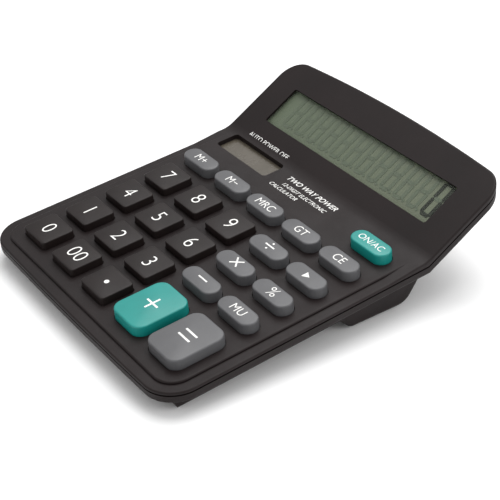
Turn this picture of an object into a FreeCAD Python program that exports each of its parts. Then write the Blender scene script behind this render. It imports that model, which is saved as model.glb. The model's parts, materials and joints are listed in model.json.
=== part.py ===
import FreeCAD, Part
import math
import os
import re

import Sketcher
from FreeCAD import Placement, Rotation, Vector

# Desk calculator. Everything is drawn in the deck frame: X across, Y back from the front edge, Z up from
# the seam between the two shells under the keyboard. One placement then sets the deck at its slope on the
# table, with +Z up and the origin under the middle of the whole case.

SIZES = {
    # case outline and shells
    "case_width": 120,
    "display_section": 37.4,
    "case_length": "=bend_place + display_section",
    "front_bow": 0.8,
    "rear_bow": 2.4,
    "front_corner": 12,
    "rear_corner": 9,
    "bend_place": 107.8,
    "display_slope": 26.4,
    "deck_slope": 4.5,
    "top_thickness": 1.8,
    "ledge_width": 4.1,
    "ledge_drop": 0.9,
    "ledge_end": "=bend_place - 16.8",
    "ledge_ramp": 12,
    "bend_round": 12,
    "lip_round": 0.7,
    "panel_round": 0.6,
    "band_depth": 3.8,
    "band_round": 1.4,
    "shadow_gap": 0.6,
    "shadow_depth": 0.9,
    "rim_wall": 2.2,
    "floor_wall": 1.4,
    # belly and rear foot under the bottom shell
    "belly_width": "=case_width - 7",
    "belly_front": 5.5,
    "belly_depth": "=2 * cell_radius - 2.3",
    "foot_front": "=bend_place - 35.2",
    "foot_back": "=bend_place - 6.8",
    "foot_rise": "=bend_place + 5.7",
    "foot_round": 2.2,
    "heel_round": 7,
    "pad_height": 0.8,
    "pad_radius": 4,
    "pad_side": "=case_width / 3",
    "pad_front": 16,
    "pad_rear": "=bend_place - 23.3",
    # keys
    "digit_width": "=column_pitch - 6.04",
    "digit_length": "=row_pitch - 4.1",
    "digit_height": 2.9,
    "digit_corner": 1.4,
    "oval_width": "=column_pitch - 2.84",
    "oval_length": "=function_row_pitch - 6.56",
    "oval_height": 3.8,
    "tall_width": "=column_pitch - 3.44",
    "tall_length": 21.6,
    "tall_corner": 4,
    "key_edge": 0.4,
    "key_gap": 0.3,
    "key_rest_gap": 0.1,
    "key_travel": 1.2,
    "flange_reach": 0.7,
    "flange_height": 0.8,
    "column_pitch": 20.74,
    "function_pitch": "=column_pitch + 0.66",
    "first_column": "=-0.36 - 2 * column_pitch",
    "first_row": 16.6,
    "row_pitch": 17.0,
    "function_row": 41.2,
    "function_row_pitch": 13.96,
    "tall_row": 21.0,
    # key membrane and circuit board
    "dome_radius": 3.0,
    "dome_tip_radius": 1.9,
    "dome_gap": 0.2,
    "membrane_sheet": 0.8,
    "membrane_width": "=case_width - 16",
    "board_top": 4.4,
    "board_thickness": 1.2,
    "board_width": "=case_width - 15.4",
    "board_front": 9.4,
    "board_back": "=cell_place - cell_radius - 2.55",
    "board_tab_left": 33.2,
    "board_tab_back": 102.4,
    "membrane_back": "=board_back - 1.4",
    # display
    "window_width": "=case_width - 26",
    "window_length": 17.3,
    "window_start": 11.3,
    "window_lip": 1.6,
    "lens_thickness": 0.9,
    "glass_air": 0.3,
    "fit_gap": 0.05,
    "glass_width": "=window_width + 7",
    "glass_length": 24,
    "glass_thickness": 1.6,
    "reflector_thickness": 0.25,
    "ribbon_width": 40,
    "ribbon_thickness": 0.15,
    "ribbon_drop": 1.5,
    "ribbon_centre": -12,
    # solar cell
    "solar_width": 31.8,
    "solar_length": 10,
    "solar_centre_x": -36.6,
    "solar_centre_y": "=bend_place - 6",
    "solar_border": 1.3,
    "solar_thickness": 1.1,
    "solar_corner": 1.5,
    # battery, its contacts and its cover
    "cell_radius": 5.25,
    "cell_length": 43.5,
    "cell_tip": 1,
    "cell_tip_radius": 1.9,
    "bay_left": -40.5,
    "bay_right": 10.5,
    "bay_wall": 1.2,
    "cell_place": "=bend_place - 10.8",
    "cell_floor_gap": 1.05,
    "plate_thickness": 0.4,
    "cover_front": "=bend_place - 19.3",
    "cover_top": "=belly_depth + 2",
    "cover_margin": 1,
    "cover_gap": 0.2,
    "cover_tab_width": 6,
    "cover_tab_side": 14,
    "cover_tab_top": 0.8,
    # fasteners
    "case_post_radius": 2.1,
    "case_screw_radius": 1.25,
    "case_head_radius": 2.3,
    "case_head_height": 1.1,
    "case_screw_seat": 7.0,
    "case_screw_reach": 5.4,
    "board_post_radius": 1.4,
    "board_screw_radius": 0.7,
    "board_head_radius": 1.4,
    "board_head_height": 0.6,
    "board_screw_reach": 2.6,
    "screw_gap": 0.03,
    "post_gap": 0.3,
}

doc = FreeCAD.newDocument("desk_calculator")
sheet = doc.addObject("Spreadsheet::Sheet", "Sizes")
for row, alias in enumerate(SIZES, 1):
    sheet.set(f"A{row}", alias)
    sheet.setAlias(f"B{row}", alias)
for row, value in enumerate(SIZES.values(), 1):
    sheet.set(f"B{row}", str(value))
doc.recompute()

sub_parts = []


def size(alias):
    return float(sheet.get(alias))


def cell(expression):
    """Turn the aliases in an expression into references to the sheet."""
    return re.sub(r"[a-z_]+", lambda word: "Sizes." + word[0] if word[0] in SIZES else word[0], expression)


def bind(thing, **expressions):
    for name, expression in expressions.items():
        thing.setExpression(name, cell(expression))
    return thing


def keep(thing, label, placement=None):
    """List a finished sub-part with its place in the deck frame."""
    thing.Label = label
    sub_parts.append((thing, placement or Placement()))
    return thing


# ---- sketches and features


def new_body(name):
    return doc.addObject("PartDesign::Body", name)


def new_sketch(body, role, height=None):
    plane = next(item for item in body.Origin.OriginFeatures if item.Role == role)
    sketch = body.newObject("Sketcher::SketchObject", body.Name + "_sketch")
    sketch.AttachmentSupport = (plane, [""])
    sketch.MapMode = "FlatFace"
    if height:
        sketch.setExpression("AttachmentOffset.Base.z", cell(height))
    return sketch


def fix_point(sketch, line, along, across, end=1):
    """Hold the start or the end of a line at two distances from the sketch's origin."""
    point = sketch.Geometry[line].StartPoint if end == 1 else sketch.Geometry[line].EndPoint
    for kind, value, expression in (("DistanceX", point.x, along), ("DistanceY", point.y, across)):
        index = sketch.addConstraint(Sketcher.Constraint(kind, -1, 1, line, end, value))
        sketch.setExpression(f"Constraints[{index}]", cell(expression))


def add_polygon(sketch, corners):
    """Draw a closed outline whose corners are pairs of expressions."""
    first = len(sketch.Geometry)
    count = len(corners)
    ring = [Vector(math.cos(2 * math.pi * i / count), math.sin(2 * math.pi * i / count), 0) * 20
            for i in range(count)]
    for i in range(count):
        sketch.addGeometry(Part.LineSegment(ring[i], ring[(i + 1) % count]), False)
    for i in range(count):
        sketch.addConstraint(Sketcher.Constraint("Coincident", first + i, 2, first + (i + 1) % count, 1))
    for i, (along, across) in enumerate(corners):
        fix_point(sketch, first + i, along, across)


def add_rectangle(sketch, left, right, front, back):
    add_polygon(sketch, [(left, front), (right, front), (right, back), (left, back)])


def add_circle(sketch, along, across, radius):
    index = sketch.addGeometry(Part.Circle(Vector(1, 1, 0), Vector(0, 0, 1), 1), False)
    for kind, expression in (("DistanceX", along), ("DistanceY", across)):
        number = sketch.addConstraint(Sketcher.Constraint(kind, -1, 1, index, 3, 1))
        sketch.setExpression(f"Constraints[{number}]", cell(expression))
    number = sketch.addConstraint(Sketcher.Constraint("Radius", index, 1))
    sketch.setExpression(f"Constraints[{number}]", cell(radius))


def pad(body, sketch, length, both_ways=False, downwards=False):
    feature = body.newObject("PartDesign::Pad", body.Name + "_pad")
    feature.Profile = sketch
    feature.Midplane = both_ways
    feature.Reversed = downwards
    return bind(feature, Length=length)


def pocket(body, sketch, length, both_ways=False, upwards=False):
    doc.recompute()
    before = body.Shape.Volume
    feature = body.newObject("PartDesign::Pocket", body.Name + "_pocket")
    feature.Profile = sketch
    feature.Midplane = both_ways
    feature.Reversed = upwards
    bind(feature, Length=length)
    doc.recompute()
    if body.Shape.Volume >= before - 0.01:
        raise RuntimeError(f"{feature.Name} cuts nothing")
    return feature


def fillet(body, radius, wanted):
    """Round the edges of a body's last feature that a test picks."""
    doc.recompute()
    base = body.Tip
    names = [f"Edge{i}" for i, edge in enumerate(base.Shape.Edges, 1) if wanted(edge)]
    feature = body.newObject("PartDesign::Fillet", body.Name + "_fillet")
    feature.Base = (base, names)
    return bind(feature, Radius=radius)


def is_upright(edge):
    ends = [vertex.Point for vertex in edge.Vertexes]
    if len(ends) < 2:
        return False
    run = ends[1] - ends[0]
    return abs(run.x) + abs(run.y) < 1e-6


def flat_at(height):
    return lambda edge: all(abs(vertex.Z - height) < 1e-6 for vertex in edge.Vertexes)


def cut(name, base, *tools):
    result = doc.addObject("Part::Cut", name)
    result.Base = base
    result.Tool = tools[0] if len(tools) == 1 else fuse(name + "_tools", *tools)
    return result


def fuse(name, *pieces):
    result = doc.addObject("Part::MultiFuse", name)
    result.Shapes = list(pieces)
    return result


def cylinder(name, along, across, low, high, radius):
    """Make an upright post between two heights."""
    post = doc.addObject("Part::Cylinder", name)
    bind(post, Radius=radius, Height=f"( {high} ) - ( {low} )")
    post.setExpression("Placement.Base.x", cell(along))
    post.setExpression("Placement.Base.y", cell(across))
    post.setExpression("Placement.Base.z", cell(low))
    return post


# ---- the case outline, cut to the folded deck


def bend_corner(height):
    return (f"bend_place - ( {height} ) * tan( display_slope * 1 deg / 2 )", height)


def back_corner(height):
    reach = "case_length + 20"
    rise = f"( {reach} - bend_place + ( {height} ) * tan( display_slope * 1 deg / 2 ) )"
    return (reach, f"{height} + {rise} * tan( display_slope * 1 deg )")


def add_bowed_outline(sketch, inset):
    """Draw the plan outline: two straight sides, a bowed front and a bowed back."""
    half = size("case_width") / 2
    length = size("case_length")
    front, back = size("front_bow"), size("rear_bow")
    corners = [Vector(half, front, 0), Vector(half, length - back, 0),
               Vector(-half, length - back, 0), Vector(-half, front, 0)]
    sketch.addGeometry(Part.LineSegment(corners[0], corners[1]), False)
    sketch.addGeometry(Part.Arc(corners[1], Vector(0, length, 0), corners[2]), False)
    sketch.addGeometry(Part.LineSegment(corners[2], corners[3]), False)
    sketch.addGeometry(Part.Arc(corners[3], Vector(0, 0, 0), corners[0]), False)
    sketch.addConstraint(Sketcher.Constraint("Coincident", 0, 2, 1, 1))
    sketch.addConstraint(Sketcher.Constraint("Coincident", 1, 2, 2, 1))
    sketch.addConstraint(Sketcher.Constraint("Coincident", 2, 2, 3, 1))
    sketch.addConstraint(Sketcher.Constraint("Coincident", 3, 2, 0, 1))
    fix_point(sketch, 0, f"case_width / 2 - ( {inset} )", f"front_bow + ( {inset} )")
    fix_point(sketch, 2, f"( {inset} ) - case_width / 2", f"case_length - rear_bow - ( {inset} )")
    for line in (0, 2):
        sketch.addConstraint(Sketcher.Constraint("Vertical", line))
    half_chord = f"( case_width / 2 - ( {inset} ) )"
    for arc, bow in ((1, "rear_bow"), (3, "front_bow")):
        radius = sketch.Geometry[arc].Radius
        index = sketch.addConstraint(Sketcher.Constraint("Radius", arc, radius))
        expression = f"( {half_chord} * {half_chord} + {bow} * {bow} ) / ( 2 * {bow} )"
        sketch.setExpression(f"Constraints[{index}]", cell(expression))


def case_slab(name, top, bottom, inset, ledge=None):
    """Make one layer of the case between two heights above the seam, set in from the outline."""
    body = new_body(name)
    outline = new_sketch(body, "XY_Plane")
    add_bowed_outline(outline, inset)
    pad(body, outline, "200", both_ways=True)
    middle = size("case_length") / 2
    fillet(body, f"front_corner - ( {inset} )",
           lambda edge: is_upright(edge) and edge.Vertexes[0].Y < middle)
    fillet(body, f"rear_corner - ( {inset} )",
           lambda edge: is_upright(edge) and edge.Vertexes[0].Y > middle)
    above = new_sketch(body, "YZ_Plane")
    start = ("- 20", ledge or top)
    step = [("ledge_end", ledge), ("ledge_end + ledge_ramp", top)] if ledge else []
    add_polygon(above, [start] + step + [bend_corner(top), back_corner(top),
                                         ("case_length + 20", "150"), ("- 20", "150")])
    pocket(body, above, "case_width + 40", both_ways=True)
    below = new_sketch(body, "YZ_Plane")
    add_polygon(below, [("- 20", bottom), bend_corner(bottom), back_corner(bottom),
                        ("case_length + 20", "- 150"), ("- 20", "- 150")])
    pocket(body, below, "case_width + 40", both_ways=True)
    return body


def surface_height(along, above_seam):
    """Give the height of a layer of the folded deck at a distance from the front."""
    slope = math.radians(size("display_slope"))
    past = along - size("bend_place") + above_seam * math.tan(slope / 2)
    return above_seam + max(0, past) * math.tan(slope)


def lies_along(edge, height):
    """Tell whether an edge runs round the outside of a layer whose height is a function."""
    ends = [vertex.Point for vertex in edge.Vertexes]
    middle = edge.valueAt((edge.FirstParameter + edge.LastParameter) / 2)
    across = edge.Curve.TypeId == "Part::GeomLine" and abs(ends[0].y - ends[-1].y) < 1e-6
    return not across and all(abs(point.z - height(point.y)) < 0.02 for point in ends + [middle])


# ---- keys: name, kind, column and row

KEYS = [
    ("key_zero", "digit", 0, 0), ("key_double_zero", "digit", 1, 0), ("key_point", "digit", 2, 0),
    ("key_one", "digit", 0, 1), ("key_two", "digit", 1, 1), ("key_three", "digit", 2, 1),
    ("key_four", "digit", 0, 2), ("key_five", "digit", 1, 2), ("key_six", "digit", 2, 2),
    ("key_seven", "digit", 0, 3), ("key_eight", "digit", 1, 3), ("key_nine", "digit", 2, 3),
    ("key_plus", "tall", 3, 0), ("key_equals", "tall", 4, 0),
    ("key_minus", "oval", 3, 0), ("key_mark_up", "oval", 4, 0),
    ("key_multiply", "oval", 3, 1), ("key_percent", "oval", 4, 1),
    ("key_divide", "oval", 3, 2), ("key_correct", "oval", 4, 2),
    ("key_memory_plus", "oval", 0, 3), ("key_memory_minus", "oval", 1, 3),
    ("key_memory_recall", "oval", 2, 3), ("key_grand_total", "oval", 3, 3),
    ("key_clear_entry", "oval", 4, 3), ("key_on_clear", "oval", 4, 4),
]


def key_across(column):
    functions = max(0, column - 2)
    return f"first_column + {column - functions} * column_pitch + {functions} * function_pitch"


def key_along(kind, row):
    return {"digit": f"first_row + {row} * row_pitch",
            "oval": f"function_row + {row} * function_row_pitch",
            "tall": "tall_row"}[kind]


def key_corner(kind):
    return "oval_length * 0.49" if kind == "oval" else kind + "_corner"


def value(expression):
    """Work out an expression of sums and products of sizes."""
    probe = doc.addObject("Part::Vertex", "probe")
    probe.setExpression("X", cell(expression))
    doc.recompute()
    result = float(probe.X)
    doc.removeObject(probe.Name)
    return result


def rounded_block(name, centre, width, length, low, high, corner):
    """Make a block with four round upright corners about a centre."""
    box = doc.addObject("Part::Box", name + "_box")
    bind(box, Length=width, Width=length, Height=f"( {high} ) - ( {low} )")
    box.setExpression("Placement.Base.x", cell(f"{centre[0]} - ( {width} ) / 2"))
    box.setExpression("Placement.Base.y", cell(f"{centre[1]} - ( {length} ) / 2"))
    box.setExpression("Placement.Base.z", cell(low))
    radius = value(corner)
    block = doc.addObject("Part::Fillet", name)
    block.Base = box
    block.Edges = [(number, radius, radius) for number in (1, 3, 5, 7)]
    return block


def make_key(name, kind, column, row):
    """Make one key: a cap that stands through the deck on a flange that stays under it."""
    width, length = kind + "_width", kind + "_length"
    height = "tall" if kind == "digit" else "oval"
    body = new_body(name)
    foot = new_sketch(body, "XY_Plane", "- top_thickness - key_rest_gap - flange_height")
    add_rectangle(foot, f"- {width} / 2", f"{width} / 2", f"- {length} / 2", f"{length} / 2")
    stand = ("digit_height" if kind == "digit" else "oval_height")
    pad(body, foot, f"top_thickness + key_rest_gap + flange_height + {stand}")
    fillet(body, key_corner(kind), is_upright)
    top = size(stand)
    fillet(body, "key_edge", flat_at(top))
    collar = new_sketch(body, "XY_Plane", "- top_thickness - key_rest_gap - flange_height")
    reach = "flange_reach + key_gap"
    add_rectangle(collar, f"- {width} / 2 - ( {reach} )", f"{width} / 2 + ( {reach} )",
                  f"- {length} / 2 - ( {reach} )", f"{length} / 2 + ( {reach} )")
    pad(body, collar, "flange_height")
    base = -size("top_thickness") - size("key_rest_gap") - size("flange_height")
    fillet(body, key_corner(kind), lambda edge: is_upright(edge)
           and edge.Length < size("flange_height") + 0.01
           and abs(min(vertex.Z for vertex in edge.Vertexes) - base) < 1e-6)
    place = Vector(value(key_across(column)), value(key_along(kind, row)), size("top_thickness"))
    return keep(body, name, Placement(place, Rotation()))


# ---- frames of the display and of the table


def display_place(along=0, above_seam=0):
    """Give the frame of the sloping display section, from the fold of the seam."""
    turn = Rotation(Vector(1, 0, 0), size("display_slope"))
    fold = Placement(Vector(0, size("bend_place"), 0), turn)
    return fold * Placement(Vector(0, along, above_seam), Rotation())


FOOT_FLOOR = "- belly_depth - ( ( {0} ) - pad_front ) * tan( deck_slope * 1 deg )"

# places of the screws that close the case and of those that hold the board under the deck
FIRST_GAP = "first_column + column_pitch / 2"
SECOND_GAP = "first_column + 1.5 * column_pitch"
LAST_GAP = "first_column + 2 * column_pitch + 1.5 * function_pitch"
CASE_SCREWS = [(FIRST_GAP, "first_row + row_pitch / 2"), (LAST_GAP, "function_row - 6.6"),
               ("12.5 - case_width / 2", "bend_place - 15.6"),
               ("first_column + 2 * column_pitch + 1.325 * function_pitch", "bend_place - 15")]
BOARD_SCREWS = [(SECOND_GAP, "first_row + row_pitch / 2"), (FIRST_GAP, "first_row + 1.5 * row_pitch"),
                (SECOND_GAP, "first_row + 2.5 * row_pitch"), (FIRST_GAP, "first_row + 3 * row_pitch + 7.8"),
                (SECOND_GAP, "first_row + 3 * row_pitch + 7.8"), (LAST_GAP, "function_row + function_row_pitch / 2"),
                (LAST_GAP, "function_row + 2.5 * function_row_pitch")]


def make_top_shell():
    """Make the top shell: rim with its ledge, raised key panel, openings and screw posts."""
    rim = case_slab("top_rim", "top_thickness", "0", "0", "top_thickness - ledge_drop")

    top = size("top_thickness")
    slope = math.radians(size("display_slope"))
    crease = size("bend_place") - top * math.tan(slope / 2)
    fillet(rim, "bend_round", lambda edge: flat_at(top)(edge)
           and all(abs(vertex.Y - crease) < 1e-4 for vertex in edge.Vertexes))
    reach = size("bend_round") * math.tan(slope / 2)

    def rim_top(along):
        share = min(max(0, (along - size("ledge_end")) / size("ledge_ramp")), 1)
        past = along - crease + reach
        if 0 < past < reach * (1 + math.cos(slope)):
            return top + size("bend_round") - math.sqrt(size("bend_round") ** 2 - past ** 2)
        return surface_height(along, top) - size("ledge_drop") * (1 - share)

    fillet(rim, "lip_round", lambda edge: lies_along(edge, rim_top))
    panel = new_body("top_panel")
    outline = new_sketch(panel, "XY_Plane")
    add_rectangle(outline, "ledge_width - case_width / 2", "case_width / 2 - ledge_width",
                  "ledge_width + front_bow / 2", "ledge_end + ledge_ramp")
    pad(panel, outline, "top_thickness")
    fillet(panel, "front_corner - ledge_width", lambda edge: is_upright(edge) and edge.Vertexes[0].Y < 50)
    back = size("ledge_end") + size("ledge_ramp")
    fillet(panel, "panel_round", lambda edge: flat_at(size("top_thickness"))(edge)
           and min(vertex.Y for vertex in edge.Vertexes) < back - 1)
    holes = [rounded_block("hole_" + name, (key_across(column), key_along(kind, row)),
                           kind + "_width + 2 * key_gap", kind + "_length + 2 * key_gap", "- 1",
                           "top_thickness + 1", "oval_length * 0.49 + key_gap" if kind == "oval"
                           else kind + "_corner + key_gap") for name, kind, column, row in KEYS]
    solar = rounded_block("solar_opening", ("solar_centre_x", "solar_centre_y"), "solar_width",
                          "solar_length", "- 1", "top_thickness + 1", "solar_corner")
    window = rounded_block("window_opening", ("0", "window_length / 2"), "window_width", "window_length",
                           "- 1", "top_thickness + 1", "ledge_drop")
    window.Base.Placement = Placement()
    rebate = doc.addObject("Part::Box", "window_rebate")
    bind(rebate, Length="window_width + 2 * window_lip", Width="window_length + 2 * window_lip",
         Height="1 + lens_thickness + fit_gap")
    window_start = display_place(size("window_start"))
    window.Placement = window_start
    rebate.Placement = window_start * Placement(Vector(-size("window_width") / 2 - size("window_lip"),
                                                       -size("window_lip"), -1), Rotation())
    shell = cut("top_open", fuse("top_blank", rim, panel), *holes, solar, window, rebate)
    posts = [cylinder("top_case_post", x, y, "- board_top - board_thickness", "0.5",
                      "case_post_radius") for x, y in CASE_SCREWS]
    posts += [cylinder("top_board_post", x, y, "- board_top", "0.5", "board_post_radius")
              for x, y in BOARD_SCREWS]
    bores = [cylinder("top_case_bore", x, y, "- board_top - board_thickness - 1", "- 0.6",
                      "case_screw_radius + screw_gap") for x, y in CASE_SCREWS]
    bores += [cylinder("top_board_bore", x, y, "- board_top - 1", "- 0.6",
                       "board_screw_radius + screw_gap") for x, y in BOARD_SCREWS]
    return keep(cut("top_shell", fuse("top_posted", shell, *posts), *bores), "top_shell")


def under_body(name, wall, half_width):
    """Make the belly and the rear foot as one block, set in by a wall."""
    body = new_body(name)
    side = new_sketch(body, "YZ_Plane")
    floor_front = FOOT_FLOOR.format("foot_front + 4")
    floor_back = FOOT_FLOOR.format("foot_back")
    rise_height = "( foot_rise - bend_place ) * tan( display_slope * 1 deg ) - 2"
    add_polygon(side, [
        (f"belly_front + {wall}", "- 2"),
        (f"belly_front + 2 + {wall}", f"- belly_depth + {wall}"),
        (f"foot_front + {wall}", f"- belly_depth + {wall}"),
        (f"foot_front + 4 + {wall}", f"{floor_front} + {wall}"),
        (f"foot_back - {wall} / 2", f"{floor_back} + {wall}"),
        (f"foot_rise - 1.4 * {wall}", rise_height),
        ("bend_place", "- 2")])
    pad(body, side, f"2 * ( {half_width} )", both_ways=True)
    return body


def make_bottom_shell():
    """Make the bottom shell with its foot, battery bay, screw posts and door opening."""
    neck = case_slab("bottom_neck", "0", "- shadow_gap", "shadow_depth")
    band = case_slab("bottom_band", "- shadow_gap", "- band_depth", "0")
    depth = -size("band_depth")
    fillet(band, "band_round", lambda edge: lies_along(edge, lambda along: surface_height(along, depth)))
    under = under_body("bottom_under", "0", "belly_width / 2")
    doc.recompute()
    fillet(under, "heel_round", lambda edge: all(
        abs(vertex.Y - size("foot_back")) < 1e-6 and vertex.Z < depth for vertex in edge.Vertexes))
    fillet(under, "foot_round", lambda edge: max(vertex.Z for vertex in edge.Vertexes) < depth - 0.2
           and not (edge.Curve.TypeId == "Part::GeomLine" and min(vertex.Y for vertex in edge.Vertexes)
                    > size("foot_front") + 8 and abs(edge.Vertexes[0].X + edge.Vertexes[-1].X) < 1e-6))
    inside_band = case_slab("bottom_inside", "2", "floor_wall - band_depth", "rim_wall")
    inside_under = under_body("bottom_hollow", "floor_wall", "belly_width / 2 - floor_wall")
    outer = fuse("bottom_outer", neck, band, under)
    hollow = cut("bottom_open", outer, inside_band, inside_under)

    # bay walls and screw posts, kept inside the outer shape
    walls = []
    for name, left in (("bay_wall_left", "bay_left - bay_wall"), ("bay_wall_right", "bay_right")):
        wall = doc.addObject("Part::Box", name)
        bind(wall, Length="bay_wall", Width="2 * cell_radius + 4", Height="18")
        wall.setExpression("Placement.Base.x", cell(left))
        wall.setExpression("Placement.Base.y", cell("cell_place - cell_radius - 2"))
        wall.setExpression("Placement.Base.z", cell("- 18 - cell_tip - bay_wall"))
        walls.append(wall)
    posts = [cylinder("bottom_post", x, y, "- 18", "- board_top - board_thickness - fit_gap",
                      "case_head_radius + floor_wall") for x, y in CASE_SCREWS]
    inner_solid = doc.addObject("Part::MultiCommon", "bottom_inner")
    inner_solid.Shapes = [fuse("bottom_ribs", *walls, *posts), under]
    wells = [cylinder("bottom_well", x, y, "- 20", "- case_screw_seat",
                      "case_head_radius + post_gap") for x, y in CASE_SCREWS]
    bores = [cylinder("bottom_bore", x, y, "- 20", "0", "case_screw_radius + screw_gap")
             for x, y in CASE_SCREWS]
    shell = cut("bottom_drilled", fuse("bottom_ribbed", hollow, inner_solid), *wells, *bores)

    return keep(cut("bottom_shell", shell, cover_block("cover_opening", "0")), "bottom_shell")


def make_battery_cover():
    """Make the cover, a piece of the foot's own wall that slides straight back along the table."""
    skin = cut("cover_skin", doc.getObject("bottom_under"), doc.getObject("bottom_hollow"))
    plate = doc.addObject("Part::MultiCommon", "cover_plate")
    plate.Shapes = [skin, cover_block("cover_shape", "cover_gap")]
    tabs = []
    for side in (-1, 1):
        for name, front, back, lift in (("cover_root", "0.4", "2.4", "- 0.3"),
                                        ("cover_tab", "- 2.6", "1.4", "cover_gap + 0.1")):
            tab = doc.addObject("Part::Box", name)
            bind(tab, Length="cover_tab_width", Width=f"{back} - ( {front} )",
                 Height=f"cover_tab_top - ( {lift} )")
            tab.setExpression("Placement.Base.x", cell(f"( bay_left + bay_right - cover_tab_width ) / 2"
                                                            f" + {side} * cover_tab_side"))
            tab.setExpression("Placement.Base.y", cell(f"cover_front + {front}"))
            floor = FOOT_FLOOR.format("cover_front")
            tab.setExpression("Placement.Base.z", cell(f"{floor} + floor_wall + {lift}"))
            tabs.append(tab)
    return keep(fuse("battery_cover", plate, *tabs), "battery_cover")


def cover_block(name, gap):
    """Make the block that the cover is cut from, with its top along the way that it slides."""
    body = new_body(name)
    side = new_sketch(body, "YZ_Plane")
    drop = "( foot_rise - cover_front ) * tan( deck_slope * 1 deg )"
    add_polygon(side, [(f"cover_front + {gap}", "- 30"), ("foot_rise", "- 30"),
                       ("foot_rise", f"- cover_top - {drop} - {gap}"),
                       (f"cover_front + {gap}", f"- cover_top - {gap}")])
    half = f"( bay_right - bay_left ) / 2 - cover_margin - {gap}"
    pad(body, side, f"2 * ( {half} )", both_ways=True)
    body.setExpression("Placement.Base.x", cell("( bay_left + bay_right ) / 2"))
    return body


def make_block(label, left, right, front, back, low, high, placement=None):
    """Make a plain plate from its four sides and two heights."""
    body = new_body(label)
    sketch = new_sketch(body, "XY_Plane", low)
    add_rectangle(sketch, left, right, front, back)
    pad(body, sketch, f"( {high} ) - ( {low} )")
    return keep(body, label, placement)


def make_display():
    """Make the window, the display glass, its reflector and the ribbon to the board."""
    place = display_place(size("window_start") + size("window_length") / 2)
    edge = "window_lip - fit_gap"
    half_width, half_length = f"window_width / 2 + {edge}", f"window_length / 2 + {edge}"
    make_block("display_window", f"- ( {half_width} )", half_width, f"- ( {half_length} )", half_length,
               "glass_air", "lens_thickness", place)
    make_block("display_glass", "- glass_width / 2", "glass_width / 2", "- glass_length / 2",
               "glass_length / 2", "- fit_gap - glass_thickness", "- fit_gap", place)
    make_block("display_reflector", "- glass_width / 2", "glass_width / 2", "- glass_length / 2 + 3",
               "glass_length / 2", "- 2 * fit_gap - glass_thickness - reflector_thickness",
               "- 2 * fit_gap - glass_thickness", place)
    ribbon = new_body("display_ribbon")
    side = new_sketch(ribbon, "YZ_Plane")
    path = [("board_back - 1.2", "- board_top + 0.05"), ("board_back", "- board_top + 0.05"),
            ("board_back + 2", "- ribbon_drop"), ("bend_place - 3", "- ribbon_drop")]
    end_along, end_height = [], []
    for run, lift in ((1.2, -2.2), (8.2, -1.84), (9.4, -1.84)):
        end_along.append(f"bend_place + {run} * cos( display_slope * 1 deg )"
                         f" - {lift} * sin( display_slope * 1 deg )")
        end_height.append(f"{run} * sin( display_slope * 1 deg ) + {lift} * cos( display_slope * 1 deg )")
    path += list(zip(end_along, end_height))
    back = [(along, f"{height} + ribbon_thickness") for along, height in reversed(path)]
    add_polygon(side, path + back)
    pad(ribbon, side, "ribbon_width", both_ways=True)
    keep(ribbon, "display_ribbon", Placement(Vector(size("ribbon_centre"), 0, 0), Rotation()))


def tabbed_outline(half_width, front, back, tab_left, tab_back):
    """Give the corners of a plate with a tab at its right back corner, under the last key."""
    return [(f"- {half_width}", front), (half_width, front), (half_width, tab_back), (tab_left, tab_back),
            (tab_left, back), (f"- {half_width}", back)]


def make_membrane():
    """Make the rubber key membrane: a sheet with one dome under each key and holes for the posts."""
    body = new_body("key_membrane")
    sheet_outline = new_sketch(body, "XY_Plane", "- board_top")
    add_polygon(sheet_outline, tabbed_outline("membrane_width / 2", "board_front + 0.2", "membrane_back",
                                              "board_tab_left + 1", "board_tab_back - 0.4"))
    pad(body, sheet_outline, "membrane_sheet")
    holes = new_sketch(body, "XY_Plane", "- board_top - 1")
    for x, y in CASE_SCREWS:
        add_circle(holes, x, y, "case_post_radius + post_gap")
    for x, y in BOARD_SCREWS:
        add_circle(holes, x, y, "board_post_radius + post_gap")
    pocket(body, holes, "membrane_sheet + 2", upwards=True)
    stroke = "key_rest_gap + flange_height + key_travel + dome_gap"
    for radius, share in (("dome_radius", "0.6"), ("dome_tip_radius", "1")):
        domes = new_sketch(body, "XY_Plane", "membrane_sheet - board_top")
        for name, kind, column, row in KEYS:
            add_circle(domes, key_across(column), key_along(kind, row), radius)
        pad(body, domes, f"( board_top - membrane_sheet - ( {stroke} ) ) * {share}")
    return keep(body, "key_membrane")


def make_board():
    """Make the circuit board with its holes, and the parts soldered under it."""
    body = new_body("circuit_board")
    outline = new_sketch(body, "XY_Plane", "- board_top - board_thickness")
    add_polygon(outline, tabbed_outline("board_width / 2", "board_front", "board_back", "board_tab_left",
                                        "board_tab_back"))
    pad(body, outline, "board_thickness")
    holes = new_sketch(body, "XY_Plane", "- board_top - board_thickness - 1")
    for x, y in CASE_SCREWS:
        add_circle(holes, x, y, "case_post_radius + post_gap")
    for x, y in BOARD_SCREWS:
        add_circle(holes, x, y, "board_screw_radius + 3 * screw_gap")
    pocket(body, holes, "board_thickness + 2", upwards=True)
    keep(body, "circuit_board")
    chip = new_body("chip_cap")
    spot = new_sketch(chip, "XY_Plane", "- board_top - board_thickness")
    add_circle(spot, "0", "50", "6")
    pad(chip, spot, "0.9", downwards=True)
    fillet(chip, "0.6", flat_at(-size("board_top") - size("board_thickness") - 0.9))
    keep(chip, "chip_cap")
    can = new_body("capacitor")
    side = new_sketch(can, "YZ_Plane", "36")
    add_circle(side, "board_back - 4.7", "- board_top - board_thickness - 2.6", "2.5")
    pad(can, side, "8")
    keep(can, "capacitor")


def make_solar_cell():
    half_width, half_length = "solar_width / 2 + solar_border", "solar_length / 2 + solar_border"
    place = Placement(Vector(size("solar_centre_x"), size("solar_centre_y"), 0), Rotation())
    make_block("solar_cell", f"- ( {half_width} )", half_width, f"- ( {half_length} )", half_length,
               "- fit_gap - solar_thickness", "- fit_gap", place)


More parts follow.
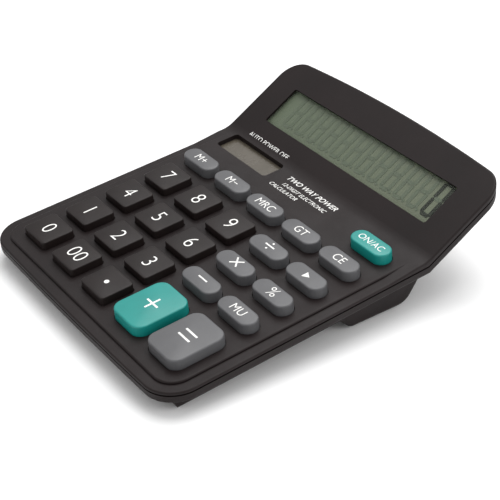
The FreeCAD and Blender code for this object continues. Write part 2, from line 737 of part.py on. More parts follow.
def make_battery():
    """Make the cell on its side, its two contact plates and the leaf spring at its flat end."""
    centre = FOOT_FLOOR.format("cell_place") + " + floor_wall + cell_floor_gap + cell_radius"
    battery = new_body("battery")
    for start, length, radius in (("bay_right - plate_thickness - fit_gap - cell_tip", "cell_length",
                                   "cell_radius"),
                                  ("bay_right - plate_thickness - fit_gap", "cell_tip + 1", "cell_tip_radius")):
        side = new_sketch(battery, "YZ_Plane", start)
        add_circle(side, "cell_place", centre, radius)
        pad(battery, side, length, downwards=True)
    fillet(battery, "0.5", lambda edge: edge.Curve.TypeId == "Part::GeomCircle" and edge.Length > 30)
    keep(battery, "battery")
    for label, start in (("contact_plus", "bay_right - plate_thickness"), ("contact_minus", "bay_left")):
        plate = new_body(label)
        side = new_sketch(plate, "YZ_Plane", start)
        add_rectangle(side, "cell_place - 4", "cell_place + 4", f"{centre} - 4", f"{centre} + 4.8")
        pad(plate, side, "plate_thickness")
        keep(plate, label)
    spring = new_body("battery_spring")
    bow = new_sketch(spring, "XY_Plane", f"{centre} - 3")
    left = "bay_left + plate_thickness + fit_gap"
    nose = "bay_right - plate_thickness - 2 * fit_gap - cell_tip - cell_length"
    add_polygon(bow, [(left, "cell_place - 4"), (nose, "cell_place - 1"), (nose, "cell_place + 1"),
                      (left, "cell_place + 4"), (left, "cell_place + 3.4"),
                      (f"{nose} - plate_thickness", "cell_place + 0.7"),
                      (f"{nose} - plate_thickness", "cell_place - 0.7"), (left, "cell_place - 3.4")])
    pad(spring, bow, "6")
    keep(spring, "battery_spring")


def make_screws(label, places, seat, radius, head_radius, head_height, reach):
    """Make a group of screws, heads down, each with a cross cut in its head."""
    screws = []
    for x, y in places:
        head = cylinder(label + "_head", x, y, f"{seat} - {head_height}", seat, head_radius)
        shank = cylinder(label + "_shank", x, y, f"{seat} - 0.1", f"{seat} + {reach}", radius)
        slots = []
        for across, along in ((f"{head_radius} * 1.2", "0.4"), ("0.4", f"{head_radius} * 1.2")):
            slot = doc.addObject("Part::Box", label + "_slot")
            bind(slot, Length=across, Width=along, Height=f"{head_height} / 2 + 1")
            slot.setExpression("Placement.Base.x", cell(f"{x} - ( {across} ) / 2"))
            slot.setExpression("Placement.Base.y", cell(f"{y} - ( {along} ) / 2"))
            slot.setExpression("Placement.Base.z", cell(f"{seat} - {head_height} - 1"))
            slots.append(slot)
        screws.append(cut(label + "_screw", fuse(label + "_turned", head, shank), *slots))
    group = doc.addObject("Part::Compound", label)
    group.Links = screws
    return keep(group, label)


def make_feet(shell):
    """Make four rubber pads whose undersides lie in one plane, the table's."""
    slope = Rotation(Vector(1, 0, 0), -size("deck_slope"))
    pads = []
    for along in ("pad_front", "pad_rear"):
        for side in (-1, 1):
            place = Vector(side * size("pad_side"), size(along), value(FOOT_FLOOR.format(along)))
            disc = doc.addObject("Part::Cylinder", "pad_disc")
            bind(disc, Radius="pad_radius", Height="pad_height + 1.2")
            down = slope.multVec(Vector(0, 0, -size("pad_height")))
            disc.Placement = Placement(place + down, slope)
            pads.append(cut("pad", disc, shell))
    group = doc.addObject("Part::Compound", "rubber_feet")
    group.Links = pads
    return keep(group, "rubber_feet")


def main():
    top = make_top_shell()
    bottom = make_bottom_shell()
    make_battery_cover()
    for key in KEYS:
        make_key(*key)
    make_display()
    make_membrane()
    make_board()
    make_solar_cell()
    make_battery()
    make_screws("case_screws", CASE_SCREWS, "- case_screw_seat", "case_screw_radius", "case_head_radius",
                "case_head_height", "case_screw_reach")
    make_screws("board_screws", BOARD_SCREWS, "- board_top - board_thickness", "board_screw_radius",
                "board_head_radius", "board_head_height", "board_screw_reach")
    make_feet(doc.getObject("bottom_under"))
    doc.recompute()
    for item in doc.Objects:
        if "Invalid" in item.State or "Error" in item.State:
            raise RuntimeError(f"{item.Name} failed: {item.State}")

    # stand the deck on the table, with the origin under the middle of the case
    tilt = Rotation(Vector(1, 0, 0), size("deck_slope"))
    ground = tilt.multVec(Vector(0, size("pad_front"), -size("belly_depth"))).z - size("pad_height")
    case = Part.makeCompound([top.Shape, bottom.Shape])
    case.Placement = Placement(Vector(), tilt)
    box = case.optimalBoundingBox(False, False)
    stand = Placement(Vector(0, -(box.YMin + box.YMax) / 2, -ground), tilt)
    print("deck frame at", stand.Base, "slope", size("deck_slope"))

    os.makedirs("parts", exist_ok=True)
    for thing, place in sub_parts:
        thing.Placement = stand * place
    doc.recompute()
    for thing, place in sub_parts:
        if thing.Shape.isNull() or not thing.Shape.isValid():
            raise RuntimeError(f"{thing.Label} has a bad shape")
        thing.Shape.exportStep(f"parts/{thing.Label}.step")
        print(thing.Label, len(thing.Shape.Solids), "solids", round(thing.Shape.Volume, 1), "mm3")


main()
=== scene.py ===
import bmesh
import bpy
import json
import math
from mathutils import Matrix, Vector

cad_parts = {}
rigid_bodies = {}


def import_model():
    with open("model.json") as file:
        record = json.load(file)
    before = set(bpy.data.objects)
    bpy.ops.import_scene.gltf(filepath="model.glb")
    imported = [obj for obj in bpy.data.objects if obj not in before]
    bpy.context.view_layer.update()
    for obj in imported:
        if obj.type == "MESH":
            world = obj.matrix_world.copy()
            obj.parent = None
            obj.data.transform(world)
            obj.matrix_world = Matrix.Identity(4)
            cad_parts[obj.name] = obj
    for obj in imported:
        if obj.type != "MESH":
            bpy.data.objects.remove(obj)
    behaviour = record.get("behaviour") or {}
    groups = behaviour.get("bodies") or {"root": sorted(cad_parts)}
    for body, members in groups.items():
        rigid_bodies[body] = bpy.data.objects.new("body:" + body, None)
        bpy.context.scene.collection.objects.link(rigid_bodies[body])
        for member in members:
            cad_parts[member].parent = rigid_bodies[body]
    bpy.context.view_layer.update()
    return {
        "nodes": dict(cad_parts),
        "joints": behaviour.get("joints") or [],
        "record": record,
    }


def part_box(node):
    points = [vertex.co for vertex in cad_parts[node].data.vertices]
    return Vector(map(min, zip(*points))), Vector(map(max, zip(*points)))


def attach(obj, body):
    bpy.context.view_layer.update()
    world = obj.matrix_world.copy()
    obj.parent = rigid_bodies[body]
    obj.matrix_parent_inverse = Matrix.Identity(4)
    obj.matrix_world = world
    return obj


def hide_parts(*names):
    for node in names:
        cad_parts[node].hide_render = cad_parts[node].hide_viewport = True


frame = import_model()
mm = 0.001

# The keyboard deck leans back by its keys' own axis, and the display section folds up behind it.
# Pieces are modelled level, then tipped with one of these turns.
pressAxis = next(joint["axis"] for joint in frame["joints"] if joint["name"] == "key_five_press")
deckTurn = Matrix.Rotation(math.asin(pressAxis[1]), 4, "X")
displayTurn = deckTurn @ Matrix.Rotation(math.radians(26.4), 4, "X")


def levelBox(node, turn):
    # lowest and highest corner of a CAD node once it is tipped back level
    points = [turn.inverted() @ vertex.co for vertex in frame["nodes"][node].data.vertices]
    return (Vector(map(min, *points)), Vector(map(max, *points)))


print("frame loaded,", len(frame["nodes"]), "nodes")

# ---- camera, floor and light

camera = {"place": (0.331753, -0.226416, 0.273034), "turn": (56.2425, 0.7840, 54.7566), "lens": 96.02}
bpy.ops.object.camera_add(location=camera["place"], rotation=[math.radians(a) for a in camera["turn"]])
bpy.context.scene.camera = bpy.context.object
bpy.context.object.data.lens = camera["lens"]
bpy.context.scene.view_settings.view_transform = "Standard"

lights = {
    "overhead": {"place": (-0.25, 0.35, 0.95), "aim": (0, 0, 0), "size": 0.9, "power": 10},
    "rightFill": {"place": (0.8, 0.5, 0.55), "aim": (0, 0, 0), "size": 0.6, "power": 3},
    "frontFill": {"place": (0.15, -0.9, 0.45), "aim": (0, 0, 0), "size": 0.8, "power": 1.5},
}
for name, light in lights.items():
    aim = Vector(light["aim"]) - Vector(light["place"])
    turn = aim.to_track_quat("-Z", "Y").to_euler()
    bpy.ops.object.light_add(type="AREA", location=light["place"], rotation=turn)
    lamp = bpy.context.object
    lamp.name = name
    lamp.data.size = light["size"]
    lamp.data.energy = light["power"]


# ---- materials


def paint(code):
    # "#3B3634" as linear light
    parts = [int(code[i:i + 2], 16) / 255 for i in (1, 3, 5)]
    return [p / 12.92 if p <= 0.04045 else ((p + 0.055) / 1.055) ** 2.4 for p in parts] + [1]


def addNode(tree, kind, values={}, links={}, **settings):
    node = tree.nodes.new("ShaderNode" + kind)
    for name, value in settings.items():
        setattr(node, name, value)
    for name, value in values.items():
        node.inputs[name].default_value = value
    for name, source in links.items():
        tree.links.new(source, node.inputs[name])
    return node


def newMaterial(name):
    made = bpy.data.materials.new(name)
    made.use_nodes = True
    made.node_tree.nodes.clear()
    return made, made.node_tree


def perMm(size):
    # texture scale that makes a feature this many millimetres wide
    return 1000 / size


def tintRamp(tree, source, low, high, start=0.0, end=1.0):
    # colour that goes from low to high as the source goes from start to end
    ramp = addNode(tree, "ValToRGB", links={"Fac": source})
    for stop, place, code in zip(ramp.color_ramp.elements, (start, end), (low, high)):
        stop.position = place
        stop.color = paint(code)
    return ramp.outputs["Color"]


def finishMaterial(tree, values, links):
    shader = addNode(tree, "BsdfPrincipled", values, links)
    addNode(tree, "OutputMaterial", links={"Surface": shader.outputs["BSDF"]})


handledMm = 11      # patches where handling has polished the surface


def moulded(name, finish):
    # injection-moulded plastic or rubber: colour that drifts a little, and the grain of the spark-eroded tool
    made, tree = newMaterial(name)
    place = addNode(tree, "TexCoord").outputs["Object"]
    drift = addNode(tree, "TexNoise", {"Scale": perMm(finish["driftMm"]), "Detail": 3}, {"Vector": place})
    grain = addNode(tree, "TexNoise", {"Scale": perMm(finish["grainMm"]), "Detail": 4, "Roughness": 0.6},
                    {"Vector": place})
    handled = addNode(tree, "TexNoise", {"Scale": perMm(handledMm), "Detail": 6, "Roughness": 0.65},
                      {"Vector": place})
    colour = tintRamp(tree, drift.outputs["Fac"], finish["dark"], finish["light"], 0.3, 0.7)
    speckle = addNode(tree, "MapRange", {"From Min": 0.3, "From Max": 0.7, "To Min": 1 - finish["speckle"],
                                         "To Max": 1 + finish["speckle"]}, {"Value": grain.outputs["Fac"]})
    shade = addNode(tree, "VectorMath", links={0: colour, 1: speckle.outputs["Result"]},
                    operation="MULTIPLY")
    rough = addNode(tree, "MapRange", {"From Min": 0.35, "From Max": 0.65, "To Min": finish["rough"] - 0.05,
                                       "To Max": finish["rough"] + 0.05}, {"Value": handled.outputs["Fac"]})
    bump = addNode(tree, "Bump", {"Strength": finish["bump"], "Distance": finish["grainMm"] * 0.25 * mm},
                   {"Height": grain.outputs["Fac"]})
    finishMaterial(tree, {"IOR": finish.get("ior", 1.5)},
                   {"Base Color": shade.outputs["Vector"], "Roughness": rough.outputs["Result"],
                    "Normal": bump.outputs["Normal"]})
    return made


# black ABS moulded in a spark-eroded tool: a dry satin that breaks up the light
caseAbs = moulded("AbsSparkEroded", {"dark": "#171010", "light": "#1D1515", "driftMm": 30, "grainMm": 0.35,
                                     "speckle": 0.16, "rough": 0.5, "bump": 0.55, "ior": 1.3})
# key caps come from a finer tool, so they are a little glossier than the case
blackKeyAbs = moulded("AbsBlackKey", {"dark": "#1A1413", "light": "#1F1817", "driftMm": 8, "grainMm": 0.25,
                                      "speckle": 0.1, "rough": 0.42, "bump": 0.3, "ior": 1.3})
greyKeyAbs = moulded("AbsGreyKey", {"dark": "#525254", "light": "#575759", "driftMm": 8, "grainMm": 0.25,
                                    "speckle": 0.06, "rough": 0.42, "bump": 0.3})
tealKeyAbs = moulded("AbsTealKey", {"dark": "#0B857E", "light": "#108C85", "driftMm": 8, "grainMm": 0.25,
                                    "speckle": 0.05, "rough": 0.4, "bump": 0.3})
# pressed rubber pads: dull, with a sanded face
padRubber = moulded("RubberPressed", {"dark": "#17171A", "light": "#1E1E20", "driftMm": 4, "grainMm": 0.5,
                                      "speckle": 0.2, "rough": 0.82, "bump": 0.8})
# the key sheet is grey silicone with a faint bloom
sheetSilicone = moulded("SiliconeMoulded", {"dark": "#9A9A98", "light": "#A8A8A5", "driftMm": 12,
                                            "grainMm": 0.4, "speckle": 0.04, "rough": 0.6, "bump": 0.2,
                                            "ior": 1.41})
# black epoxy dropped over the chip: smooth and wet-looking
chipEpoxy = moulded("EpoxyDropped", {"dark": "#0C0C0D", "light": "#131314", "driftMm": 3, "grainMm": 1.2,
                                     "speckle": 0.1, "rough": 0.2, "bump": 0.1})
# heat-seal film with its carbon tracks
ribbonFilm = moulded("PolyesterFilm", {"dark": "#4A3A24", "light": "#6A5536", "driftMm": 1.0, "grainMm": 0.6,
                                       "speckle": 0.1, "rough": 0.35, "bump": 0.1})
print("plastics ready")


def plated(name, finish):
    # drawn or rolled metal: fine lines along one way, under a dull plating
    made, tree = newMaterial(name)
    place = addNode(tree, "TexCoord").outputs["Object"]
    along = addNode(tree, "Mapping", {"Scale": finish["stretch"]}, {"Vector": place})
    lines = addNode(tree, "TexNoise", {"Scale": perMm(finish["lineMm"]), "Detail": 5},
                    {"Vector": along.outputs["Vector"]})
    spots = addNode(tree, "TexNoise", {"Scale": perMm(3), "Detail": 4}, {"Vector": place})
    colour = tintRamp(tree, spots.outputs["Fac"], finish["dark"], finish["light"])
    rough = addNode(tree, "MapRange", {"To Min": finish["rough"] - 0.08, "To Max": finish["rough"] + 0.12},
                    {"Value": lines.outputs["Fac"]})
    bump = addNode(tree, "Bump", {"Strength": 0.3, "Distance": 0.01 * mm}, {"Height": lines.outputs["Fac"]})
    finishMaterial(tree, {"Metallic": 1.0},
                   {"Base Color": colour, "Roughness": rough.outputs["Result"],
                    "Normal": bump.outputs["Normal"]})
    return made


# nickel-plated spring steel and zinc-plated screws
nickelSteel = plated("SteelNickelPlated", {"dark": "#B5B1A6", "light": "#D2CEC4", "stretch": (1, 1, 12),
                                           "lineMm": 1.2, "rough": 0.3})
zincSteel = plated("SteelZincPlated", {"dark": "#8D9094", "light": "#AEB0B2", "stretch": (1, 1, 1),
                                       "lineMm": 0.6, "rough": 0.38})
# the sleeve of a small capacitor and the foil behind the display
canAluminium = plated("AluminiumDrawn", {"dark": "#9FA1A4", "light": "#C2C4C6", "stretch": (1, 12, 12),
                                         "lineMm": 1.5, "rough": 0.34})
foilAluminium = plated("AluminiumFoil", {"dark": "#B4B8AE", "light": "#CBCEC4", "stretch": (8, 1, 1),
                                         "lineMm": 1.0, "rough": 0.3})


def striped(name, finish):
    # a surface crossed by fine even lines, such as the cuts between solar strips
    made, tree = newMaterial(name)
    place = addNode(tree, "TexCoord").outputs["Object"]
    centred = addNode(tree, "Mapping", {"Location": finish["shift"]}, {"Vector": place})
    axes = addNode(tree, "SeparateXYZ", links={"Vector": centred.outputs["Vector"]})
    pitch = addNode(tree, "Math", {1: finish["pitchMm"] * mm}, {0: axes.outputs[finish["axis"]]},
                    operation="PINGPONG")
    line = addNode(tree, "Math", {1: finish["lineMm"] / 2 * mm}, {0: pitch.outputs[0]}, operation="LESS_THAN")
    cloud = addNode(tree, "TexNoise", {"Scale": perMm(finish["cloudMm"]), "Detail": 4}, {"Vector": place})
    ground = tintRamp(tree, cloud.outputs["Fac"], finish["dark"], finish["light"], 0.3, 0.7)
    colour = addNode(tree, "MixRGB", {"Color2": paint(finish["line"])},
                     {"Fac": line.outputs[0], "Color1": ground})
    rough = addNode(tree, "MapRange", {"To Min": finish["rough"] - 0.04, "To Max": finish["rough"] + 0.08},
                    {"Value": cloud.outputs["Fac"]})
    bump = addNode(tree, "Bump", {"Strength": 0.25, "Distance": 0.01 * mm}, {"Height": cloud.outputs["Fac"]})
    finishMaterial(tree, {"IOR": 1.5},
                   {"Base Color": colour.outputs["Color"], "Roughness": rough.outputs["Result"],
                    "Normal": bump.outputs["Normal"]})
    return made


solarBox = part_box("solar_cell")
# amorphous silicon sputtered on glass, cut into strips: brown, with thin darker cuts
solarGlass = striped("SiliconOnGlass", {"shift": (-(solarBox[0].x + solarBox[1].x) / 2, 0, 0), "axis": "X",
                                        "pitchMm": 7.9, "lineMm": 0.25, "cloudMm": 6, "dark": "#4E483E",
                                        "light": "#554F45", "line": "#4C463D", "rough": 0.25})
# phenolic paper board with its copper tracks under brown-green lacquer
boardLaminate = striped("PhenolicPaper", {"shift": (0, 0, 0), "axis": "Y", "pitchMm": 2.54, "lineMm": 0.5,
                                          "cloudMm": 2, "dark": "#5A4A22", "light": "#6B5A2C",
                                          "line": "#8A7440", "rough": 0.45})
# the battery's printed jacket: blue with one pale band
jacketFilm = striped("PrintedJacket", {"shift": (0.020, 0, 0), "axis": "X", "pitchMm": 30, "lineMm": 14,
                                       "cloudMm": 5, "dark": "#1B2C5C", "light": "#223570", "line": "#B9B4A0",
                                       "rough": 0.3})


def displayFilm(finish):
    # the polariser over the liquid crystal: grey-green, brushed very finely across, a little uneven, with a
    # painted reflection that lightens it towards its right end
    made, tree = newMaterial("PolariserFilm")
    place = addNode(tree, "TexCoord").outputs["Object"]
    across = addNode(tree, "Mapping", {"Scale": (1, 14, 14)}, {"Vector": place})
    brushed = addNode(tree, "TexNoise", {"Scale": perMm(finish["brushMm"]), "Detail": 4},
                      {"Vector": across.outputs["Vector"]})
    axes = addNode(tree, "SeparateXYZ", links={"Vector": place})
    # painted reflection: the colour runs from the darker left end to the lighter right end of the film
    along = addNode(tree, "MapRange", {"From Min": -0.05, "From Max": 0.05}, {"Value": axes.outputs["X"]})
    tint = tintRamp(tree, along.outputs["Result"], finish["left"], finish["right"])
    tone = addNode(tree, "MapRange", {"To Min": 0.93, "To Max": 1.07}, {"Value": brushed.outputs["Fac"]})
    colour = addNode(tree, "VectorMath", links={0: tint, 1: tone.outputs["Result"]},
                     operation="MULTIPLY")
    rough = addNode(tree, "MapRange", {"To Min": 0.32, "To Max": 0.42}, {"Value": brushed.outputs["Fac"]})
    finishMaterial(tree, {"IOR": 1.49},
                   {"Base Color": colour.outputs["Vector"], "Roughness": rough.outputs["Result"]})
    return made


lcdFilm = displayFilm({"brushMm": 0.6, "left": "#4D5944", "right": "#59604B"})


def printed(name, finish):
    # screen-printed ink: nearly even, with the slight starved patches that a screen leaves
    made, tree = newMaterial(name)
    place = addNode(tree, "TexCoord").outputs["Object"]
    patch = addNode(tree, "TexNoise", {"Scale": perMm(0.8), "Detail": 5, "Roughness": 0.7}, {"Vector": place})
    colour = tintRamp(tree, patch.outputs["Fac"], finish["thin"], finish["full"], 0.25, 0.5)
    rough = addNode(tree, "MapRange", {"To Min": finish["rough"], "To Max": finish["rough"] + 0.15},
                    {"Value": patch.outputs["Fac"]})
    finishMaterial(tree, {"IOR": finish.get("ior", 1.5)},
                   {"Base Color": colour, "Roughness": rough.outputs["Result"]})
    return made


whiteInk = printed("InkScreenPrintedWhite", {"thin": "#C9C8C4", "full": "#F2F1EE", "rough": 0.45})
# lit segments: near-black, partly their own tone and partly painted shadow, the shade they cast on the
# reflector behind them
darkCrystalAndShadow = printed("CrystalDark", {"thin": "#07090A", "full": "#0B0D0E", "rough": 0.6, "ior": 1.15})
faintCrystal = printed("CrystalFaint", {"thin": "#3E4A37", "full": "#434F3B", "rough": 0.4})


def clearSheet(finish):
    # cast acrylic, clear enough that only its shine and a few hairlines show
    made, tree = newMaterial("AcrylicCast")
    place = addNode(tree, "TexCoord").outputs["Object"]
    hairline = addNode(tree, "Mapping", {"Scale": (1, 25, 25)}, {"Vector": place})
    wear = addNode(tree, "TexNoise", {"Scale": perMm(4), "Detail": 6, "Roughness": 0.8},
                   {"Vector": hairline.outputs["Vector"]})
    tint = tintRamp(tree, wear.outputs["Fac"], "#8C9484", "#A9AFA1")
    rough = addNode(tree, "MapRange", {"To Min": 0.04, "To Max": 0.16}, {"Value": wear.outputs["Fac"]})
    finishMaterial(tree, {"IOR": 1.49, "Alpha": finish["alpha"]},
                   {"Base Color": tint, "Roughness": rough.outputs["Result"]})
    return made


clearAcrylic = clearSheet({"alpha": 0.06})

finishes = {
    "case_plastic": caseAbs, "black_key": blackKeyAbs, "grey_key": greyKeyAbs, "teal_key": tealKeyAbs,
    "window_acrylic": clearAcrylic, "lcd_glass": lcdFilm, "reflector_foil": foilAluminium,
    "ribbon_film": ribbonFilm, "silicone_rubber": sheetSilicone, "board_laminate": boardLaminate,
    "chip_resin": chipEpoxy,
    "capacitor_can": canAluminium, "solar_glass": solarGlass, "battery_jacket": jacketFilm,
    "plated_steel": nickelSteel, "screw_steel": zincSteel, "foot_rubber": padRubber,
}
slotOf = {part["node"]: part["material_slot"] for part in frame["record"]["subparts"]}
for node, ob in frame["nodes"].items():
    ob.data.materials.clear()
    ob.data.materials.append(finishes[slotOf[node]])
print("materials ready")


# ---- tools


def clearSelection():
    if bpy.context.object and bpy.context.object.mode != "OBJECT":
        bpy.ops.object.mode_set(mode="OBJECT")
    for ob in bpy.context.view_layer.objects:
        ob.select_set(False)


def pick(kind, test):
    # in edit mode, select the faces or edges that a test accepts
    mesh = bmesh.from_edit_mesh(bpy.context.object.data)
    for part in getattr(mesh, kind):
        part.select_set(False)
    for part in getattr(mesh, kind):
        if test(part):
            part.select_set(True)
    mesh.select_flush_mode()
    bmesh.update_edit_mesh(bpy.context.object.data)


def pickFaces(test):
    pick("faces", test)


def pickEdges(test):
    pick("edges", lambda edge: test(edge.verts[0].co, edge.verts[1].co))


def settle(ob, name, turn, place, material, body):
    # put a level piece in its place on the deck or the display, with its place in its mesh
    ob.name = name
    ob.data.name = name
    ob.data.transform(turn @ Matrix.Translation(place))
    ob.data.materials.clear()
    ob.data.materials.append(material)
    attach(ob, body)
    return ob


# ---- key caps

firstKey = levelBox("key_one", deckTurn)
flangeToPanel = 2.7                 # from the foot of a key's flange up to the panel's face
keyTop = firstKey[0].z + flangeToPanel * mm
digitCap = {"width": 14.7, "length": 12.9, "top": 2.9, "corner": 1.4, "turns": 5, "edge": 0.35, "draft": 0.1}
ovalCap = {"width": 17.9, "length": 7.4, "top": 3.8, "corner": 3.66, "turns": 12, "edge": 0.55, "draft": 0.08}
tallCap = {"width": 17.3, "length": 21.6, "top": 3.8, "corner": 4.0, "turns": 9, "edge": 0.55, "draft": 0.08}
flange = {"under": 1.9, "thick": 0.8, "reach": 0.95}


def modelCap(cap):
    # a block is rounded in plan, its top edge softened, its foot drafted and then stepped out to the flange
    clearSelection()
    width, length, top = cap["width"] * mm, cap["length"] * mm, cap["top"] * mm
    under, thick, reach = (flange[key] * mm for key in ("under", "thick", "reach"))
    bpy.ops.mesh.primitive_cube_add(size=1, location=(0, 0, (top - under) / 2),
                                    scale=(width, length, top + under))
    made = bpy.context.object
    bpy.ops.object.transform_apply(location=True, rotation=True, scale=True)
    bpy.ops.object.mode_set(mode="EDIT")
    bpy.ops.mesh.select_mode(type="EDGE")
    pickEdges(lambda a, b: abs(a.z - b.z) > mm)
    bpy.ops.mesh.bevel(offset=cap["corner"] * mm, segments=cap["turns"], affect="EDGES")
    pickEdges(lambda a, b: a.z > top - 0.01 * mm and b.z > top - 0.01 * mm)
    bpy.ops.mesh.bevel(offset=cap["edge"] * mm, segments=4, affect="EDGES")
    bpy.ops.mesh.select_mode(type="FACE")
    pickFaces(lambda face: face.normal.z < -0.9)
    draft = 2 * cap["draft"] * mm
    bpy.ops.transform.resize(value=(1 + draft / width, 1 + draft / length, 1))
    bpy.ops.mesh.extrude_region_move(TRANSFORM_OT_translate={"value": (0, 0, 0)})
    bpy.ops.transform.resize(value=(1 + 2 * reach / width, 1 + 2 * reach / length, 1))
    bpy.ops.mesh.extrude_region_move(TRANSFORM_OT_translate={"value": (0, 0, -thick)})
    bpy.ops.mesh.select_mode(type="EDGE")
    pickEdges(lambda a, b: a.z < thick * -0.5 - under and b.z < thick * -0.5 - under)
    bpy.ops.mesh.bevel(offset=0.12 * mm, segments=2, affect="EDGES")
    bpy.ops.mesh.select_all(action="SELECT")
    bpy.ops.mesh.normals_make_consistent(inside=False)
    bpy.ops.object.mode_set(mode="OBJECT")
    bpy.ops.object.shade_smooth_by_angle(angle=math.radians(35))
    return made


inkFilm = 0.04                      # thickness of the printed marks


def addWords(words, style):
    # lettering as a thin film of ink, level and centred on its place
    clearSelection()
    bpy.ops.object.text_add(location=(0, 0, 0))
    text = bpy.context.object
    text.data.body = words
    text.data.size = style["size"] * mm
    text.data.align_x = "CENTER"
    text.data.align_y = "CENTER"
    text.data.offset = style["bold"] * mm
    text.data.shear = style.get("lean", 0)
    text.data.extrude = inkFilm / 2 * mm
    text.data.resolution_u = 6
    bpy.ops.object.convert(target="MESH")
    return bpy.context.object


def addTriangle(style):
    clearSelection()
    bpy.ops.mesh.primitive_cylinder_add(vertices=3, radius=style["size"] * mm, depth=inkFilm * mm,
                                        rotation=(0, 0, math.radians(-90)))
    bpy.ops.object.transform_apply(location=True, rotation=True, scale=True)
    return bpy.context.object


def addDot(style):
    clearSelection()
    bpy.ops.mesh.primitive_cylinder_add(vertices=32, radius=style["size"] * mm, depth=inkFilm * mm)
    return bpy.context.object


digitInk = {"size": 8.6, "bold": -0.12}
signInk = {"size": 11, "bold": -0.16}
wordInk = {"size": 4.8, "bold": -0.03}
legends = {
    "key_zero": ("0", digitInk), "key_double_zero": ("00", digitInk), "key_one": ("1", digitInk),
    "key_two": ("2", digitInk), "key_three": ("3", digitInk), "key_four": ("4", digitInk),
    "key_five": ("5", digitInk), "key_six": ("6", digitInk), "key_seven": ("7", digitInk),
    "key_eight": ("8", digitInk), "key_nine": ("9", digitInk),
    "key_plus": ("+", {"size": 14, "bold": -0.2}), "key_equals": ("=", {"size": 14, "bold": -0.2}),
    "key_minus": ("−", signInk), "key_multiply": ("×", signInk), "key_divide": ("÷", signInk),
    "key_percent": ("%", {"size": 6.2, "bold": -0.05}), "key_mark_up": ("MU", wordInk),
    "key_memory_plus": ("M+", wordInk), "key_memory_minus": ("M−", wordInk),
    "key_memory_recall": ("MRC", wordInk), "key_grand_total": ("GT", wordInk),
    "key_clear_entry": ("CE", wordInk),
    "key_on_clear": ("ON/AC", {"size": 3.9, "bold": -0.02}),
}
kindOf = {"black_key": digitCap, "grey_key": ovalCap, "teal_key": ovalCap}
masters = {}
for node in sorted(name for name in frame["nodes"] if name.startswith("key_") and name != "key_membrane"):
    cap = tallCap if node in ("key_plus", "key_equals") else kindOf[slotOf[node]]
    low, high = levelBox(node, deckTurn)
    middle = Vector(((low.x + high.x) / 2, (low.y + high.y) / 2, keyTop))
    if cap["length"] not in masters:
        masters[cap["length"]] = modelCap(cap)
    master = masters[cap["length"]]
    piece = master.copy()
    piece.data = master.data.copy()
    bpy.context.scene.collection.objects.link(piece)
    settle(piece, node + "_cap", deckTurn, middle, finishes[slotOf[node]], node)
    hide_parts(node)
    if node == "key_point":
        legend = addDot({"size": 0.95})
    elif node == "key_correct":
        legend = addTriangle({"size": 1.7})
    else:
        legend = addWords(*legends[node])
    settle(legend, node + "_legend", deckTurn, middle + Vector((0, 0, cap["top"] * mm)), whiteInk, node)
for master in masters.values():
    bpy.data.objects.remove(master)
print("key caps ready")

# ---- printing on the case

smallPrint = {"size": 2.5, "bold": 0.0, "lean": 0.25}
largePrint = {"size": 3.3, "bold": 0.02, "lean": 0.25}
displayBox = levelBox("display_window", displayTurn)
windowSunk = 0.9                    # the window's face is this far below the case's
displayFace = displayBox[1].z + windowSunk * mm
deckPrints = [("TWO WAY POWER", largePrint, (0.5, 103.3)), ("12-DIGIT ELECTRONIC", smallPrint, (0.5, 99.4)),
              ("CALCULATOR", smallPrint, (-8.0, 96.4))]
firstRow = 33.6                     # from the deck's front edge to the middle of the key marked 1
deckFront = (firstKey[0].y + firstKey[1].y) / 2 - firstRow * mm
for number, (words, style, (across, along)) in enumerate(deckPrints, 1):
    settle(addWords(words, style), f"case_print_{number}", deckTurn,
           (across * mm, deckFront + along * mm, keyTop), whiteInk, "case")
windowPrint = {"words": "AUTO POWER OFF", "across": -35.5, "inFront": 6.5, "size": 2.9, "bold": -0.01}
settle(addWords(windowPrint["words"], windowPrint), "case_print_4", displayTurn,
       (windowPrint["across"] * mm, displayBox[0].y - windowPrint["inFront"] * mm, displayFace),
       whiteInk, "case")
print("printing ready")

# ---- liquid crystal digits

# bar: a segment's width, drawn wide enough to take in the painted shadow of the lit segments
crystal = {"digits": 12, "pitch": 7.35, "width": 4.0, "height": 14.2, "bar": 1.6, "gap": 0.22, "right": 44.8,
           "centre": 1.6, "film": 0.12, "clear": 0.08}
tipPerWidth = 0.577                 # a hexagon's tip is this share of its width from its middle


def addBar(across, along, long, upright):
    # one segment: a six-sided plate stretched to its length
    clearSelection()
    bpy.ops.mesh.primitive_cylinder_add(vertices=6, radius=crystal["bar"] * tipPerWidth * mm,
                                        depth=crystal["film"] * mm, rotation=(0, 0, math.radians(90)))
    bar = bpy.context.object
    bpy.ops.object.transform_apply(location=True, rotation=True, scale=True)
    stretch = (long - crystal["bar"] - crystal["gap"]) / 2 * mm
    bpy.ops.object.mode_set(mode="EDIT")
    for side in (-1, 1):
        pickEdges(lambda a, b: min(a.x * side, b.x * side) > -0.01 * mm)
        bpy.ops.transform.translate(value=(side * stretch, 0, 0))
    bpy.ops.object.mode_set(mode="OBJECT")
    turn = Matrix.Rotation(math.radians(90), 4, "Z") if upright else Matrix()
    bar.data.transform(Matrix.Translation((across * mm, along * mm, 0)) @ turn)
    return bar


half, quarter = crystal["width"] / 2, crystal["height"] / 4
segments = {"top": (0, 2 * quarter, crystal["width"], False), "middle": (0, 0, crystal["width"], False),
            "bottom": (0, -2 * quarter, crystal["width"], False),
            "leftUp": (-half, quarter, 2 * quarter, True),
            "rightUp": (half, quarter, 2 * quarter, True),
            "leftDown": (-half, -quarter, 2 * quarter, True),
            "rightDown": (half, -quarter, 2 * quarter, True)}


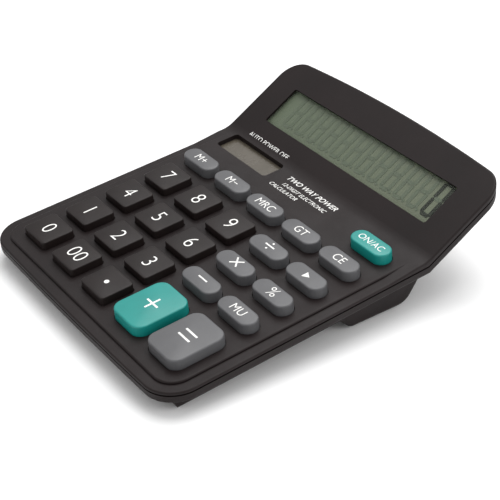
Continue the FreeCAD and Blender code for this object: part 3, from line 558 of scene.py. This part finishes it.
def copyOf(ob, shift):
    made = ob.copy()
    made.data = ob.data.copy()
    made.data.transform(Matrix.Translation(shift))
    bpy.context.scene.collection.objects.link(made)
    return made


def joined(group):
    clearSelection()
    for ob in group:
        ob.select_set(True)
    bpy.context.view_layer.objects.active = group[0]
    bpy.ops.object.join()
    return group[0]


bars = {name: addBar(*spot) for name, spot in segments.items()}
clearSelection()
bpy.ops.mesh.primitive_cylinder_add(vertices=24, radius=0.65 * mm, depth=crystal["film"] * mm)
dot = bpy.context.object
dot.data.transform(Matrix.Translation(((half + 1.35) * mm, -2 * quarter * mm, 0)))
lit, faint = [], []
for digit in range(crystal["digits"]):
    shift = Vector(((crystal["right"] - half - digit * crystal["pitch"]) * mm, 0, 0))
    for name, bar in bars.items():
        shown = digit == 0 and name != "middle"
        (lit if shown else faint).append(copyOf(bar, shift))
    (lit if digit == 0 else faint).append(copyOf(dot, shift))
for ob in list(bars.values()) + [dot]:
    bpy.data.objects.remove(ob)
glassBox = levelBox("display_glass", displayTurn)
glassFace = Vector((0, (displayBox[0].y + displayBox[1].y) / 2 + crystal["centre"] * mm,
                    glassBox[1].z + crystal["clear"] * mm))
settle(joined(lit), "display_digit_lit", displayTurn, glassFace, darkCrystalAndShadow, "case")
settle(joined(faint), "display_digits_faint", displayTurn, glassFace, faintCrystal, "case")
print("display ready")

# ---- floor

bpy.ops.mesh.primitive_plane_add(size=6, location=(0, 0, 0))
floor = bpy.context.object
floor.name = "floor"
paper, tree = newMaterial("PaperBackdrop")
spot = addNode(tree, "TexCoord").outputs["Object"]
pulp = addNode(tree, "TexNoise", {"Scale": 40, "Detail": 3}, {"Vector": spot})
white = tintRamp(tree, pulp.outputs["Fac"], "#F6F6F6", "#FCFCFC")
finishMaterial(tree, {"Roughness": 0.9}, {"Base Color": white})
floor.data.materials.append(paper)

world = bpy.data.worlds.new("studio")
bpy.context.scene.world = world
world.use_nodes = True
world.node_tree.nodes["Background"].inputs["Color"].default_value = (1, 1, 1, 1)
world.node_tree.nodes["Background"].inputs["Strength"].default_value = 0.6

print("scene ready")
